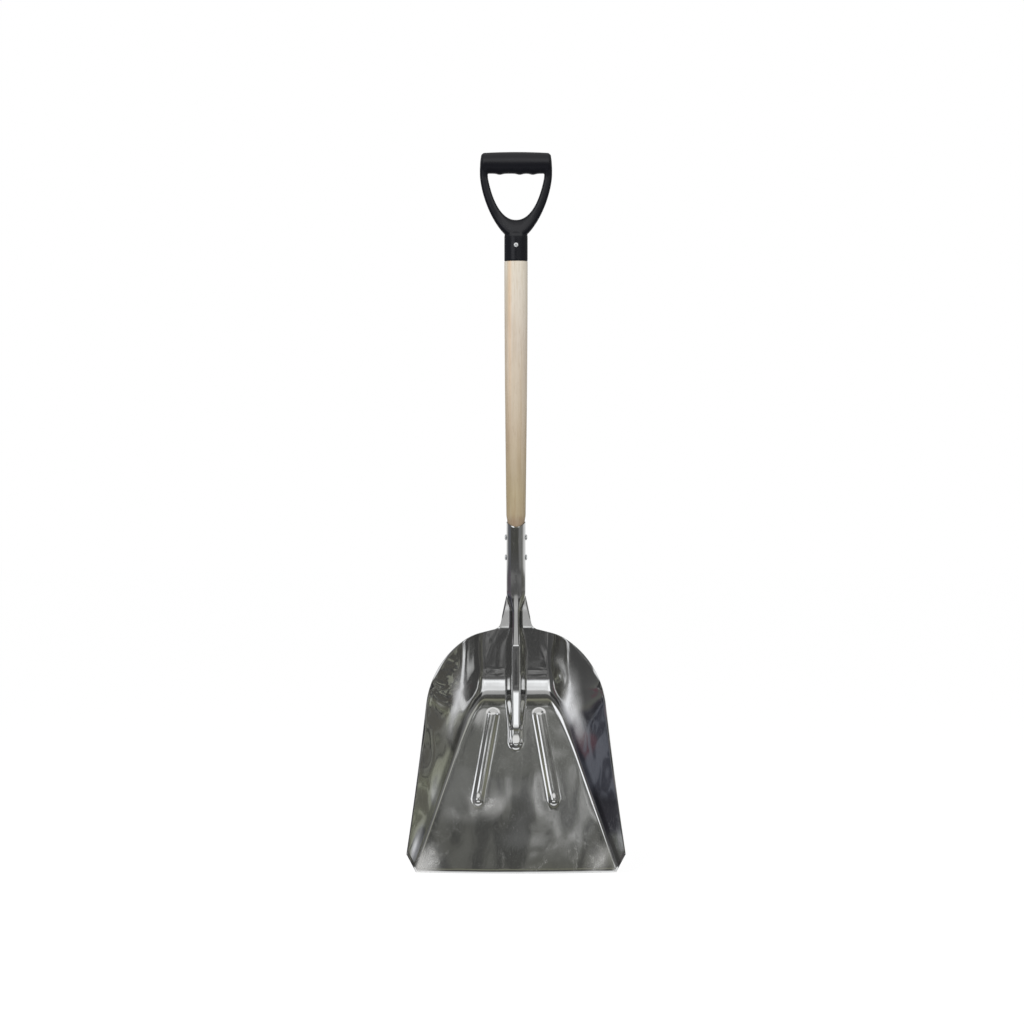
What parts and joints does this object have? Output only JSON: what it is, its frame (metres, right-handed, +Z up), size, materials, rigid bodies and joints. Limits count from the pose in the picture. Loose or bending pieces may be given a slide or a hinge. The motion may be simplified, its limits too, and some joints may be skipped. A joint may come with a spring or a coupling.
{
  "type": "scoop shovel",
  "caption": "Upright grain scoop shovel: a pressed mirror-bright pan with a centre ridge and side ribs, a rolled socket, a tapered wooden shaft and a moulded D-grip.",
  "frame": {"origin": "the middle of the bottom of the bounding box, just in front of the lip's middle", "axes": "+Z up the shaft towards the grip, -Y the way the pan opens, X across the pan"},
  "size_m": [0.348, 0.106, 1.1501],
  "materials": {
    "stainless": "mirror-polished pressed stainless sheet",
    "wood": "plain sanded, pale, darker towards the socket",
    "black_plastic": "moulded, slightly satin",
    "zinc_plate": "bright zinc plate"
  },
  "bodies": {
    "root": {"blade": "stainless", "shaft": "wood", "d_grip": "black_plastic", "grip_screw": "zinc_plate", "socket_rivet_upper": "zinc_plate", "socket_rivet_lower": "zinc_plate"}
  },
  "joints": []
}
